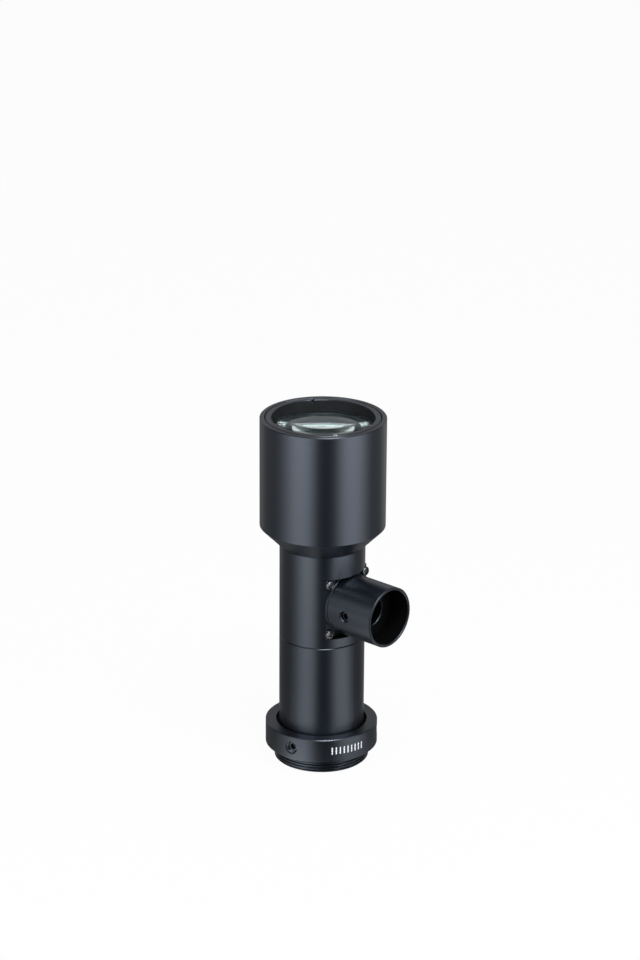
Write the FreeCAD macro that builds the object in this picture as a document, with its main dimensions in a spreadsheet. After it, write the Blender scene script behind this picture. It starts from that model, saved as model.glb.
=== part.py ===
import FreeCAD, Part
import math
import os
import Sketcher

from FreeCAD import Placement, Rotation, Vector

# Telecentric lens with a side port for coaxial light and a 1 inch, 32 turns per inch camera thread.
# Millimetres. The optical axis is +Z, from the camera to the object in view. Height 0 is the
# seat that meets the camera's face, and the light port points along +X.
DIMENSIONS = {
    # barrels
    "barrel_radius": 11.36,
    "seam_bevel": 0.12,
    "joint_wall": 1.46,
    "joint_length": 5.0,
    "joint_relief": 0.1,
    "thread_clearance": 0.05,
    "running_clearance": 0.05,
    # mount ring
    "ring_wall": 3.64,
    "ring_height": 6.55,
    "ring_bevel": 0.2,
    "thread_radius": 12.7,
    "thread_length": 4.0,
    "thread_bevel": 0.35,
    "ledge_width": 1.86,
    "ledge_height": 1.5,
    "entry_gap": 0.75,
    "entry_depth": 0.8,
    # grub screws
    "grub_height": 3.3,
    "grub_radius": 1.5,
    "grub_length": 3.0,
    "grub_cone": 1.2,
    "grub_tip_gap": 0.1,
    "grub_groove_depth": 0.9,
    "grub_socket_radius": 0.866,
    "grub_socket_depth": 1.2,
    "grub_sink": 0.25,
    "grub_sink_depth": 0.5,
    # rear barrel and its lenses
    "rear_top_bevel": 0.3,
    "rear_foot_bevel": 0.2,
    "rear_wall": 2.76,
    "rear_lip_width": 1.2,
    "rear_lip_height": 3.5,
    "rear_mouth_flare": 0.8,
    "rear_spare": 0.4,
    "lens_clearance": 0.03,
    "land_width": 1.1,
    "field_edge": 2.6,
    "field_curve": 40.0,
    "rear_spacer_length": 6.6,
    "rear_inner_edge": 4.0,
    "rear_inner_curve": 30.0,
    "rear_cement_curve": 16.0,
    "rear_outer_edge": 2.6,
    "rear_outer_curve": 24.0,
    "stop_spacer_length": 2.2,
    "stop_thickness": 0.6,
    "stop_radius": 3.2,
    "stop_ring_length": 2.3,
    "ring_notch_width": 1.0,
    "ring_notch_depth": 0.8,
    # main barrel, beam splitter and its cage
    "flat_depth": 3.56,
    "web_below_port": 2.55,
    "web_above_port": 1.15,
    "window_radius": 5.6,
    "window_wall": 0.6,
    "cage_ledge": 0.9,
    "cage_clearance": 0.05,
    "cage_corner_wall": 0.715,
    "cage_floor": 1.2,
    "cage_roof": 0.6,
    "cage_window_margin": 0.3,
    "cage_ring_length": 2.0,
    "cage_ring_wall": 1.75,
    "cube_clearance": 0.05,
    "trap_margin": 0.95,
    "trap_gap": 0.2,
    "trap_rim": 0.55,
    "trap_floor": 0.4,
    # light port
    "plate_thickness": 0.8,
    "plate_margin": 1.45,
    "plate_proud": 0.29,
    "pocket_clearance": 0.05,
    "collar_step": 0.17,
    "collar_height": 0.7,
    "collar_bevel": 0.1,
    "tube_radius": 8.13,
    "tube_spigot_step": 1.68,
    "tube_spigot_relief": 0.1,
    "mouth_wall": 0.76,
    "mouth_depth": 6.3,
    "mouth_bevel": 0.15,
    "guide_radius": 4.05,
    "guide_depth": 5.2,
    "guide_flare": 0.2,
    "guide_stop_radius": 3.4,
    "guide_stop_thickness": 0.7,
    "port_grub_inset": 2.6,
    "port_grub_gap": 0.1,
    "condenser_wall": 1.47,
    "condenser_land": 0.9,
    "condenser_edge": 2.0,
    "condenser_curve": 14.0,
    "condenser_ring_length": 1.4,
    "condenser_spare": 0.31,
    # flange screws
    "screw_inset": 0.99,
    "screw_gap": 0.19,
    "screw_radius": 0.8,
    "screw_length": 3.7,
    "screw_hole_spare": 0.2,
    "pan_radius": 1.3,
    "pan_height": 1.0,
    "pan_round": 0.55,
    "cross_width": 0.36,
    "cross_reach": 0.75,
    "cross_depth": 0.6,
    # head and front lenses
    "head_radius": 16.62,
    "head_length": 35.05,
    "head_rim_wall": 1.22,
    "head_rim_bevel": 0.16,
    "head_throat_wall": 1.7,
    "head_chamber_length": 6.0,
    "head_taper_length": 5.5,
    "front_lead": 0.25,
    "front_lead_depth": 0.5,
    "front_ring_length": 2.9,
    "front_ring_wall": 1.5,
    "front_ring_bevel": 0.12,
    "front_lens_step": 0.65,
    "front_land_width": 1.0,
    "front_outer_edge": 3.0,
    "front_outer_curve": 62.0,
    "front_cement_curve": 48.0,
    "front_inner_edge": 4.0,
    "front_inner_curve": 150.0,
    "head_spacer_length": 6.1,
    "second_edge": 3.2,
    "second_curve": 80.0,
}

# Angles about the optical axis, in degrees from the light port.
FIRST_GRUB_ANGLE = -80.3
GRUB_COUNT = 3
FRONT_NOTCH_ANGLE = -35.8

# Two lengths count as the same within this
NEAR = 0.01

document = FreeCAD.newDocument("TelecentricLens")


class Size:
    """A length together with the sheet formula that gives it."""

    def __init__(self, value, formula):
        self.value = value
        self.formula = formula

    def __add__(self, other):
        other = as_size(other)
        return Size(self.value + other.value, f"({self.formula} + {other.formula})")

    def __sub__(self, other):
        other = as_size(other)
        return Size(self.value - other.value, f"({self.formula} - {other.formula})")

    def __mul__(self, other):
        other = as_size(other)
        return Size(self.value * other.value, f"({self.formula} * {other.formula})")

    def __truediv__(self, other):
        other = as_size(other)
        return Size(self.value / other.value, f"({self.formula} / {other.formula})")

    def __neg__(self):
        return Size(-self.value, f"(0 - {self.formula})")

    def root(self):
        return Size(math.sqrt(self.value), f"sqrt({self.formula})")


def as_size(number):
    return number if isinstance(number, Size) else Size(float(number), repr(number))


class Sheet:
    """The driving sizes, each in a spreadsheet cell of its own and named by its alias."""

    def __init__(self, dimensions):
        cells = document.addObject("Spreadsheet::Sheet", "Sizes")
        for row, (name, value) in enumerate(dimensions.items(), start=1):
            cells.set(f"A{row}", name)
            cells.set(f"B{row}", str(value))
            cells.setAlias(f"B{row}", name)
            setattr(self, name, Size(value, f"Sizes.{name}"))


d = Sheet(DIMENSIONS)
document.recompute()
ZERO = Size(0.0, "0")

# Radii about the optical axis
joint_radius = d.barrel_radius - d.joint_wall
joint_bore_radius = joint_radius + d.thread_clearance
ring_bore_radius = d.barrel_radius + d.running_clearance
ring_radius = d.barrel_radius + d.ring_wall
throat_radius = d.barrel_radius - d.ledge_width
grub_hole_radius = d.grub_radius + d.running_clearance
grub_tip_radius = d.grub_radius - d.grub_cone
rear_bore_radius = d.barrel_radius - d.rear_wall
rear_lip_radius = rear_bore_radius - d.rear_lip_width
rear_lens_radius = rear_bore_radius - d.lens_clearance
rear_clear_radius = rear_lens_radius - d.land_width
front_thread_radius = d.head_radius - d.head_rim_wall - d.front_lead
front_ring_radius = front_thread_radius - d.thread_clearance
front_ring_bore = front_ring_radius - d.front_ring_wall
front_lens_radius = front_thread_radius - d.front_lens_step
front_bore_radius = front_lens_radius + d.lens_clearance
front_clear_radius = front_lens_radius - d.front_land_width
head_throat_radius = joint_radius - d.head_throat_wall

# The splitter's cage fills the bore behind the port's flat, and its corners set the cube's side
ROOT_OF_TWO = Size(math.sqrt(2), "sqrt(2)")
flat_distance = d.barrel_radius - d.flat_depth
cage_bore_radius = flat_distance - d.window_wall
cage_radius = cage_bore_radius - d.cage_clearance
cage_ledge_radius = cage_bore_radius - d.cage_ledge
cage_ring_bore = cage_radius - d.cage_ring_wall
cube_half = (cage_radius - d.cage_corner_wall) / ROOT_OF_TWO - d.cube_clearance
cube_side = cube_half * 2
cage_window_radius = cube_half - d.cage_window_margin
trap_radius = cube_half - d.trap_margin
trap_face = cube_half + d.trap_gap
trap_back = (cage_radius * cage_radius - trap_radius * trap_radius).root()

# Distances out along the port from the optical axis, and radii about the port's own axis
plate_face = flat_distance + d.plate_thickness
collar_face = plate_face + d.collar_height
spigot_end = flat_distance + d.tube_spigot_relief
condenser_low = spigot_end + d.condenser_spare + d.condenser_ring_length
condenser_seat = condenser_low + d.condenser_edge
guide_stop = condenser_seat + d.guide_stop_thickness
guide_face = guide_stop + d.guide_depth
tube_reach = guide_face + d.mouth_depth
port_grub_distance = guide_stop + d.port_grub_inset
collar_radius = d.tube_radius + d.collar_step
mouth_radius = d.tube_radius - d.mouth_wall
tube_spigot_radius = d.tube_radius - d.tube_spigot_step
condenser_bore_radius = tube_spigot_radius - d.condenser_wall
condenser_radius = condenser_bore_radius - d.lens_clearance
condenser_clear_radius = condenser_radius - d.condenser_land

# The flange plate is turned to a sweep just proud of the barrel. Its screws stand in from the
# plate's long edges, and their heads clear the collar.
plate_turn_radius = d.barrel_radius + d.plate_proud
plate_half_width = (plate_turn_radius * plate_turn_radius - plate_face * plate_face).root()
screw_hole_radius = d.screw_radius + d.thread_clearance
screw_across = plate_half_width - d.screw_inset
screw_reach = collar_radius + d.screw_gap + d.pan_radius
screw_along = (screw_reach * screw_reach - screw_across * screw_across).root()
plate_half_height = screw_along + d.plate_margin
pocket_half_height = plate_half_height + d.pocket_clearance

# Heights above the seat, from the camera end to the front
joint_bore_depth = d.joint_length + d.joint_relief
field_low = d.ledge_height + d.rear_lip_height
rear_spacer_low = field_low + d.field_edge
rear_inner_low = rear_spacer_low + d.rear_spacer_length
rear_outer_low = rear_inner_low + d.rear_inner_edge
stop_spacer_low = rear_outer_low + d.rear_outer_edge
stop_low = stop_spacer_low + d.stop_spacer_length
stop_ring_low = stop_low + d.stop_thickness
stop_ring_top = stop_ring_low + d.stop_ring_length
rear_top = stop_ring_top + d.rear_spare + joint_bore_depth
port_height = rear_top + d.web_below_port + pocket_half_height
main_top = port_height + pocket_half_height + d.web_above_port + joint_bore_depth
cage_low = port_height - cube_half - d.cage_floor
cage_top = port_height + cube_half + d.cage_roof
cone_top = main_top + d.head_radius - d.barrel_radius
head_top = main_top + d.head_length
front_ring_low = head_top - d.front_ring_length
front_outer_low = front_ring_low - d.front_outer_edge
front_inner_low = front_outer_low - d.front_inner_edge
head_spacer_low = front_inner_low - d.head_spacer_length
second_low = head_spacer_low - d.second_edge


def new_body(label):
    body = document.addObject("PartDesign::Body", label)
    body.Label = label
    return body


def sketch_on(body, plane, name, offset=None):
    """A sketch on one of the body's own origin planes, moved along the plane's normal by offset."""
    sketch = body.newObject("Sketcher::SketchObject", name)
    support = [part for part in body.Origin.OriginFeatures if part.Role == plane][0]
    sketch.AttachmentSupport = [(support, "")]
    sketch.MapMode = "FlatFace"
    if offset is not None:
        sketch.setExpression("AttachmentOffset.Base.z", offset.formula)
    return sketch


def hold_point(sketch, line, end, across, up):
    """Ties one end of a line to its distances from the sketch's origin."""
    for kind, axis, size in (("DistanceX", -2, across), ("DistanceY", -1, up)):
        if size is ZERO:
            sketch.addConstraint(Sketcher.Constraint("PointOnObject", line, end, axis))
        elif size is not None:
            tie = sketch.addConstraint(Sketcher.Constraint(kind, -1, 1, line, end, size.value))
            sketch.setExpression(f"Constraints[{tie}]", size.formula)


def draw_outline(sketch, points):
    """A closed outline of straight lines through the points, each held by its two sizes."""
    corners = [Vector(across.value, up.value, 0) for across, up in points]
    first = sketch.GeometryCount
    count = len(corners)
    for index, corner in enumerate(corners):
        sketch.addGeometry(Part.LineSegment(corner, corners[(index + 1) % count]))
    for index, (across, up) in enumerate(points):
        before = first + (index - 1) % count
        sketch.addConstraint(Sketcher.Constraint("Coincident", before, 2, first + index, 1))
        hold_point(sketch, first + index, 1, across, up)


def draw_circle(sketch, across, up, radius):
    centre = Vector(across.value, up.value, 0)
    circle = sketch.addGeometry(Part.Circle(centre, Vector(0, 0, 1), radius.value))
    hold_point(sketch, circle, 3, across, up)
    tie = sketch.addConstraint(Sketcher.Constraint("Radius", circle, radius.value))
    sketch.setExpression(f"Constraints[{tie}]", radius.formula)


def draw_rectangle(sketch, low_across, low_up, high_across, high_up):
    draw_outline(
        sketch,
        [(low_across, low_up), (high_across, low_up), (high_across, high_up), (low_across, high_up)],
    )


def revolve(body, sketch):
    turn = body.newObject("PartDesign::Revolution", sketch.Name + "_turn")
    turn.Profile = sketch
    turn.ReferenceAxis = (sketch, ["V_Axis"])
    turn.Angle = 360.0
    sketch.Visibility = False
    return turn


def pad(body, sketch, length, midplane=False):
    feature = body.newObject("PartDesign::Pad", sketch.Name + "_pad")
    feature.Profile = sketch
    feature.Midplane = midplane
    feature.Length = length.value
    feature.setExpression("Length", length.formula)
    return feature


def pocket(body, sketch, length=None, outward=False):
    """Cuts the sketch against its normal, or along it where outward is set, to a length or through."""
    feature = body.newObject("PartDesign::Pocket", sketch.Name + "_cut")
    feature.Profile = sketch
    feature.Reversed = outward
    if length is None:
        feature.Type = "ThroughAll"
    else:
        feature.Length = length.value
        feature.setExpression("Length", length.formula)
    return feature


def turned(label, points):
    """A piece turned about its own Z axis from an outline of radius and height."""
    body = new_body(label)
    sketch = sketch_on(body, "XZ_Plane", label + "_outline")
    draw_outline(sketch, points)
    revolve(body, sketch)
    return body


def ring_outline(inner, outer, low, high):
    return [(inner, low), (outer, low), (outer, high), (inner, high)]


def notch_ring(body, label, top, outer):
    """Two spanner notches across the top of a screwed ring, on its X axis."""
    sketch = sketch_on(body, "XY_Plane", label + "_notch", top)
    half = d.ring_notch_width / 2
    past = outer + d.ring_notch_width
    draw_rectangle(sketch, -past, -half, past, half)
    pocket(body, sketch, d.ring_notch_depth)


def draw_lens_face(sketch, radius, clear, edge, curve, rises):
    """One face of a lens, from the axis to the rim: flat where it has no curve, or else an arc over
    the clear area and a flat land outside it. Where it rises, its middle is higher than its edge.
    Returns the ends on the axis and at the rim, each as a geometry and its vertex."""
    start = Vector(0, edge.value, 0)
    middle_end = None
    if curve is not None:
        side = 1 if rises else -1
        depth = curve.value - math.sqrt(curve.value**2 - clear.value**2)
        centre = Vector(0, edge.value + side * (depth - curve.value), 0)
        spread = math.asin(clear.value / curve.value)
        upright = side * math.pi / 2
        angles = sorted((upright, upright - side * spread))
        rim_vertex, middle_vertex = (1, 2) if rises else (2, 1)
        arc = sketch.addGeometry(Part.ArcOfCircle(Part.Circle(centre, Vector(0, 0, 1), curve.value), *angles))
        sketch.addConstraint(Sketcher.Constraint("PointOnObject", arc, 3, -2))
        sketch.addConstraint(Sketcher.Constraint("PointOnObject", arc, middle_vertex, -2))
        hold_point(sketch, arc, rim_vertex, clear, edge)
        tie = sketch.addConstraint(Sketcher.Constraint("Radius", arc, curve.value))
        sketch.setExpression(f"Constraints[{tie}]", curve.formula)
        start = Vector(clear.value, edge.value, 0)
        middle_end = (arc, middle_vertex)
    line = sketch.addGeometry(Part.LineSegment(start, Vector(radius.value, edge.value, 0)))
    hold_point(sketch, line, 2, radius, edge)
    if middle_end is None:
        hold_point(sketch, line, 1, ZERO, edge)
        middle_end = (line, 1)
    else:
        sketch.addConstraint(Sketcher.Constraint("Coincident", arc, rim_vertex, line, 1))
    return middle_end, (line, 2)


def join_ends(sketch, low_end, high_end):
    line = sketch.addGeometry(Part.LineSegment(sketch.getPoint(*low_end), sketch.getPoint(*high_end)))
    sketch.addConstraint(Sketcher.Constraint("Coincident", *low_end, line, 1))
    sketch.addConstraint(Sketcher.Constraint("Coincident", *high_end, line, 2))


def lens(label, radius, clear, low, high, low_curve=None, high_curve=None, low_rises=False, high_rises=True):
    """A lens between two edge heights, with a flat land round each curved face."""
    body = new_body(label)
    sketch = sketch_on(body, "XZ_Plane", label + "_outline")
    low_middle, low_rim = draw_lens_face(sketch, radius, clear, low, low_curve, low_rises)
    high_middle, high_rim = draw_lens_face(sketch, radius, clear, high, high_curve, high_rises)
    join_ends(sketch, low_rim, high_rim)
    join_ends(sketch, low_middle, high_middle)
    revolve(body, sketch)
    return body


def point_along_port(body):
    """Stands a piece that was turned about Z out along the light port."""
    body.Placement = Placement(Vector(0, 0, port_height.value), Rotation(Vector(0, 1, 0), 90))
    body.setExpression("Placement.Base.z", port_height.formula)


def make_mount_ring():
    """The threaded ring that screws into the camera; three grub screws hold the lens in it."""
    bore = ring_bore_radius
    entry = bore + d.entry_gap
    body = turned(
        "c_mount_ring",
        [
            (throat_radius, -d.thread_length),
            (d.thread_radius - d.thread_bevel, -d.thread_length),
            (d.thread_radius, d.thread_bevel - d.thread_length),
            (d.thread_radius, ZERO),
            (ring_radius - d.ring_bevel, ZERO),
            (ring_radius, d.ring_bevel),
            (ring_radius, d.ring_height - d.ring_bevel),
            (ring_radius - d.ring_bevel, d.ring_height),
            (entry, d.ring_height),
            (entry, d.ring_height - d.entry_depth),
            (bore, d.ring_height - d.entry_depth),
            (bore, d.ledge_height),
            (throat_radius, d.ledge_height),
        ],
    )
    hole = sketch_on(body, "XZ_Plane", "mount_grub_hole")
    draw_circle(hole, ZERO, d.grub_height, grub_hole_radius)
    first = pocket(body, hole, outward=True)
    sink = sketch_on(body, "XZ_Plane", "mount_grub_sink", ring_radius)
    draw_circle(sink, ZERO, d.grub_height, grub_hole_radius + d.grub_sink)
    second = pocket(body, sink, d.grub_sink_depth)
    turns = body.newObject("PartDesign::PolarPattern", "mount_grub_holes")
    turns.Originals = [first, second]
    turns.Axis = (hole, ["V_Axis"])
    turns.Angle = 360.0
    turns.Occurrences = GRUB_COUNT
    body.Tip = turns
    body.Placement = Placement(Vector(), Rotation(Vector(0, 0, 1), FIRST_GRUB_ANGLE + 90))
    return body


def make_grub_screw(label):
    """A cone-point grub screw with its tip at height 0 and its hexagon socket on top."""
    body = turned(
        label,
        [
            (ZERO, ZERO),
            (grub_tip_radius, ZERO),
            (d.grub_radius, d.grub_cone),
            (d.grub_radius, d.grub_length),
            (ZERO, d.grub_length),
        ],
    )
    socket = sketch_on(body, "XY_Plane", label + "_socket", d.grub_length)
    corner = d.grub_socket_radius
    flat = corner * Size(math.sqrt(3) / 2, "sqrt(3) / 2")
    draw_outline(
        socket,
        [
            (corner, ZERO),
            (corner / 2, flat),
            (-corner / 2, flat),
            (-corner, ZERO),
            (-corner / 2, -flat),
            (corner / 2, -flat),
        ],
    )
    pocket(body, socket, d.grub_socket_depth)
    return body


def make_mount_grub_screws():
    """Each cone point stands just clear of the groove round the tail of the rear barrel."""
    tip = d.barrel_radius - d.grub_groove_depth + grub_tip_radius + d.grub_tip_gap
    for index in range(GRUB_COUNT):
        angle = FIRST_GRUB_ANGLE + index * 360 / GRUB_COUNT
        body = make_grub_screw(f"mount_grub_screw_{index + 1}")
        outward = Vector(math.cos(math.radians(angle)), math.sin(math.radians(angle)), 0)
        place = outward * tip.value + Vector(0, 0, d.grub_height.value)
        body.Placement = Placement(place, Rotation(Vector(0, 0, 1), outward))


def make_rear_barrel():
    """The lower barrel: its tail sits in the mount ring, and its top takes the main barrel."""
    low = d.ledge_height
    counterbore = rear_top - joint_bore_depth
    turned(
        "rear_barrel",
        [
            (rear_lip_radius + d.rear_mouth_flare, low),
            (d.barrel_radius - d.rear_foot_bevel, low),
            (d.barrel_radius, low + d.rear_foot_bevel),
            (d.barrel_radius, d.grub_height - d.grub_groove_depth),
            (d.barrel_radius - d.grub_groove_depth, d.grub_height),
            (d.barrel_radius, d.grub_height + d.grub_groove_depth),
            (d.barrel_radius, rear_top - d.rear_top_bevel),
            (d.barrel_radius - d.rear_top_bevel, rear_top),
            (joint_bore_radius, rear_top),
            (joint_bore_radius, counterbore),
            (rear_bore_radius, counterbore),
            (rear_bore_radius, field_low),
            (rear_lip_radius, field_low),
            (rear_lip_radius, low + d.rear_mouth_flare),
        ],
    )


def make_rear_optics():
    """From the camera end: field lens, spacer, cemented pair, spacer, stop and screwed ring."""
    radius = rear_lens_radius
    clear = rear_clear_radius
    lens("field_lens", radius, clear, field_low, rear_spacer_low, high_curve=d.field_curve)
    turned("rear_spacer", ring_outline(clear, radius, rear_spacer_low, rear_inner_low))
    lens(
        "rear_doublet_inner",
        radius,
        clear,
        rear_inner_low,
        rear_outer_low,
        low_curve=d.rear_inner_curve,
        high_curve=d.rear_cement_curve,
        low_rises=True,
        high_rises=False,
    )
    lens(
        "rear_doublet_outer",
        radius,
        clear,
        rear_outer_low,
        stop_spacer_low,
        low_curve=d.rear_cement_curve,
        high_curve=d.rear_outer_curve,
    )
    turned("stop_spacer", ring_outline(clear, radius, stop_spacer_low, stop_low))
    turned(
        "aperture_stop",
        [
            (d.stop_radius, stop_low),
            (radius, stop_low),
            (radius, stop_ring_low),
            (d.stop_radius + d.stop_thickness, stop_ring_low),
        ],
    )
    ring = turned("rear_retaining_ring", ring_outline(clear, radius, stop_ring_low, stop_ring_top))
    notch_ring(ring, "rear_retaining_ring", stop_ring_top, radius)


def make_main_barrel():
    """The upper barrel, with the splitter's bore, the milled flat and the window of the port."""
    spigot_low = rear_top - d.joint_length
    counterbore = main_top - joint_bore_depth
    body = turned(
        "main_barrel",
        [
            (cage_ledge_radius, spigot_low),
            (joint_radius, spigot_low),
            (joint_radius, rear_top),
            (d.barrel_radius - d.seam_bevel, rear_top),
            (d.barrel_radius, rear_top + d.seam_bevel),
            (d.barrel_radius, main_top - d.seam_bevel),
            (d.barrel_radius - d.seam_bevel, main_top),
            (joint_bore_radius, main_top),
            (joint_bore_radius, counterbore),
            (cage_bore_radius, counterbore),
            (cage_bore_radius, cage_low),
            (cage_ledge_radius, cage_low),
        ],
    )
    flat = sketch_on(body, "YZ_Plane", "port_flat", flat_distance)
    low = port_height - pocket_half_height
    high = port_height + pocket_half_height
    draw_rectangle(flat, -d.barrel_radius, low, d.barrel_radius, high)
    pocket(body, flat, outward=True)
    window = sketch_on(body, "YZ_Plane", "port_window")
    draw_circle(window, ZERO, port_height, d.window_radius)
    pocket(body, window, outward=True)
    drill_flange_holes(body, "barrel_screw_holes", plate_face - d.screw_length - d.screw_hole_spare)
    return body


def drill_flange_holes(body, name, start):
    """Four holes at the flange's corners, from a distance along the port outwards."""
    holes = sketch_on(body, "YZ_Plane", name, start)
    for across in (-screw_across, screw_across):
        for up in (port_height - screw_along, port_height + screw_along):
            draw_circle(holes, across, up, screw_hole_radius)
    pocket(body, holes, outward=True)


def make_splitter():
    """The cage and the two cemented prisms that turn the port's light towards the object."""
    cube_low = port_height - cube_half
    cube_high = port_height + cube_half
    cage = turned("splitter_cage", ring_outline(cage_window_radius, cage_radius, cage_low, cage_top))
    seat = sketch_on(cage, "XY_Plane", "cube_seat", cage_top)
    reach = cube_half + d.cube_clearance
    draw_rectangle(seat, -reach, -reach, reach, reach)
    pocket(cage, seat, d.cage_roof + cube_side)
    window = sketch_on(cage, "YZ_Plane", "cage_window")
    draw_circle(window, ZERO, port_height, cage_window_radius)
    pocket(cage, window, outward=True)
    trap_hole = sketch_on(cage, "YZ_Plane", "trap_hole")
    draw_circle(trap_hole, ZERO, port_height, trap_radius + d.cage_clearance)
    pocket(cage, trap_hole)
    corners = {"splitter_prism_a": (cube_half, cube_high), "splitter_prism_b": (-cube_half, cube_low)}
    for label, square_corner in corners.items():
        prism = new_body(label)
        sketch = sketch_on(prism, "XZ_Plane", label + "_face")
        draw_outline(sketch, [(cube_half, cube_low), square_corner, (-cube_half, cube_high)])
        pad(prism, sketch, cube_side, midplane=True)
    ring_top = cage_top + d.cage_ring_length
    ring = turned("cage_retaining_ring", ring_outline(cage_ring_bore, cage_radius, cage_top, ring_top))
    notch_ring(ring, "cage_retaining_ring", ring_top, cage_radius)


def make_light_trap():
    """A blackened cup behind the splitter that takes in the light the port doesn't use."""
    body = turned(
        "light_trap",
        [
            (ZERO, -trap_back),
            (trap_radius, -trap_back),
            (trap_radius, -trap_face),
            (trap_radius - d.trap_rim, -trap_face),
            (ZERO, d.trap_floor - trap_back),
        ],
    )
    point_along_port(body)


def make_port_flange():
    """A plate in the barrel's milled pocket, turned to the barrel's sweep, with a round collar."""
    body = new_body("port_flange")
    low = port_height - plate_half_height
    high = port_height + plate_half_height
    plate = sketch_on(body, "YZ_Plane", "flange_plate", flat_distance)
    draw_rectangle(plate, -plate_turn_radius, low, plate_turn_radius, high)
    pad(body, plate, d.plate_thickness)
    sweep = sketch_on(body, "XY_Plane", "flange_sweep", high)
    reach = plate_turn_radius * 2
    draw_rectangle(sweep, -reach, -reach, reach, reach)
    draw_circle(sweep, ZERO, ZERO, plate_turn_radius)
    pocket(body, sweep)
    collar = sketch_on(body, "YZ_Plane", "flange_collar", plate_face)
    draw_circle(collar, ZERO, port_height, collar_radius)
    round_collar = pad(body, collar, d.collar_height)
    document.recompute()
    rims = [
        f"Edge{number}"
        for number, edge in enumerate(round_collar.Shape.Edges, start=1)
        if is_circle(edge, collar_radius) and abs(edge.CenterOfMass.x - collar_face.value) < NEAR
    ]
    bevel = body.newObject("PartDesign::Chamfer", "flange_bevel")
    bevel.Base = (round_collar, rims)
    bevel.Size = d.collar_bevel.value
    bevel.setExpression("Size", d.collar_bevel.formula)
    bore = sketch_on(body, "YZ_Plane", "flange_bore")
    draw_circle(bore, ZERO, port_height, tube_spigot_radius + d.thread_clearance)
    pocket(body, bore, outward=True)
    drill_flange_holes(body, "flange_screw_holes", flat_distance / 2)
    return body


def is_circle(edge, radius):
    return isinstance(edge.Curve, Part.Circle) and abs(edge.Curve.Radius - radius.value) < NEAR


def make_port_tube():
    """The light port: a wide mouth, the bore that takes the light guide, and the condenser's seat."""
    body = turned(
        "port_tube",
        [
            (condenser_bore_radius, spigot_end),
            (tube_spigot_radius, spigot_end),
            (tube_spigot_radius, collar_face),
            (d.tube_radius, collar_face),
            (d.tube_radius, tube_reach - d.mouth_bevel),
            (d.tube_radius - d.mouth_bevel, tube_reach),
            (mouth_radius + d.mouth_bevel, tube_reach),
            (mouth_radius, tube_reach - d.mouth_bevel),
            (mouth_radius, guide_face),
            (d.guide_radius + d.guide_flare, guide_face),
            (d.guide_radius, guide_face - d.guide_flare),
            (d.guide_radius, guide_stop),
            (d.guide_stop_radius, guide_stop),
            (d.guide_stop_radius, condenser_seat),
            (condenser_bore_radius, condenser_seat),
        ],
    )
    hole = sketch_on(body, "XZ_Plane", "port_grub_hole")
    draw_circle(hole, ZERO, port_grub_distance, grub_hole_radius)
    pocket(body, hole, outward=True)
    point_along_port(body)


def make_condenser():
    lens(
        "condenser_lens",
        condenser_radius,
        condenser_clear_radius,
        condenser_low,
        condenser_seat,
        low_curve=d.condenser_curve,
    )
    low = condenser_low - d.condenser_ring_length
    turned(
        "condenser_retaining_ring",
        ring_outline(condenser_clear_radius, condenser_radius, low, condenser_low),
    )
    for label in ("condenser_lens", "condenser_retaining_ring"):
        point_along_port(document.getObject(label))


def make_port_grub_screw():
    """The screw that grips the light guide, on the port's level side, just clear of the bore."""
    body = make_grub_screw("port_grub_screw")
    tip = d.guide_radius + d.port_grub_gap
    place = Vector(port_grub_distance.value, -tip.value, port_height.value)
    body.Placement = Placement(place, Rotation(Vector(0, 0, 1), Vector(0, -1, 0)))
    body.setExpression("Placement.Base.x", port_grub_distance.formula)
    body.setExpression("Placement.Base.y", (-tip).formula)
    body.setExpression("Placement.Base.z", port_height.formula)


def make_port_screws():
    """Four pan-head screws with a cross recess, their heads on the flange's face."""
    places = [(-1, 1), (1, 1), (1, -1), (-1, -1)]
    for number, (across, up) in enumerate(places, start=1):
        label = f"port_screw_{number}"
        body = turned(
            label,
            [
                (ZERO, -d.screw_length),
                (d.screw_radius, -d.screw_length),
                (d.screw_radius, ZERO),
                (d.pan_radius, ZERO),
                (d.pan_radius, d.pan_height),
                (ZERO, d.pan_height),
            ],
        )
        document.recompute()
        blank = body.Tip
        crown = [
            f"Edge{index}"
            for index, edge in enumerate(blank.Shape.Edges, start=1)
            if is_circle(edge, d.pan_radius) and edge.CenterOfMass.z > d.pan_height.value / 2
        ]
        rounding = body.newObject("PartDesign::Fillet", label + "_round")
        rounding.Base = (blank, crown)
        rounding.Radius = d.pan_round.value
        rounding.setExpression("Radius", d.pan_round.formula)
        cross = sketch_on(body, "XY_Plane", label + "_cross", d.pan_height)
        thin = d.cross_width / 2
        arm = d.cross_reach
        draw_outline(
            cross,
            [
                (arm, -thin),
                (arm, thin),
                (thin, thin),
                (thin, arm),
                (-thin, arm),
                (-thin, thin),
                (-arm, thin),
                (-arm, -thin),
                (-thin, -thin),
                (-thin, -arm),
                (thin, -arm),
                (thin, -thin),
            ],
        )
        pocket(body, cross, d.cross_depth)
        level = port_height + screw_along * up
        side = screw_across * across
        place = Vector(plate_face.value, side.value, level.value)
        body.Placement = Placement(place, Rotation(Vector(0, 1, 0), 90))
        body.setExpression("Placement.Base.x", plate_face.formula)
        body.setExpression("Placement.Base.y", side.formula)
        body.setExpression("Placement.Base.z", level.formula)


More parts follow.
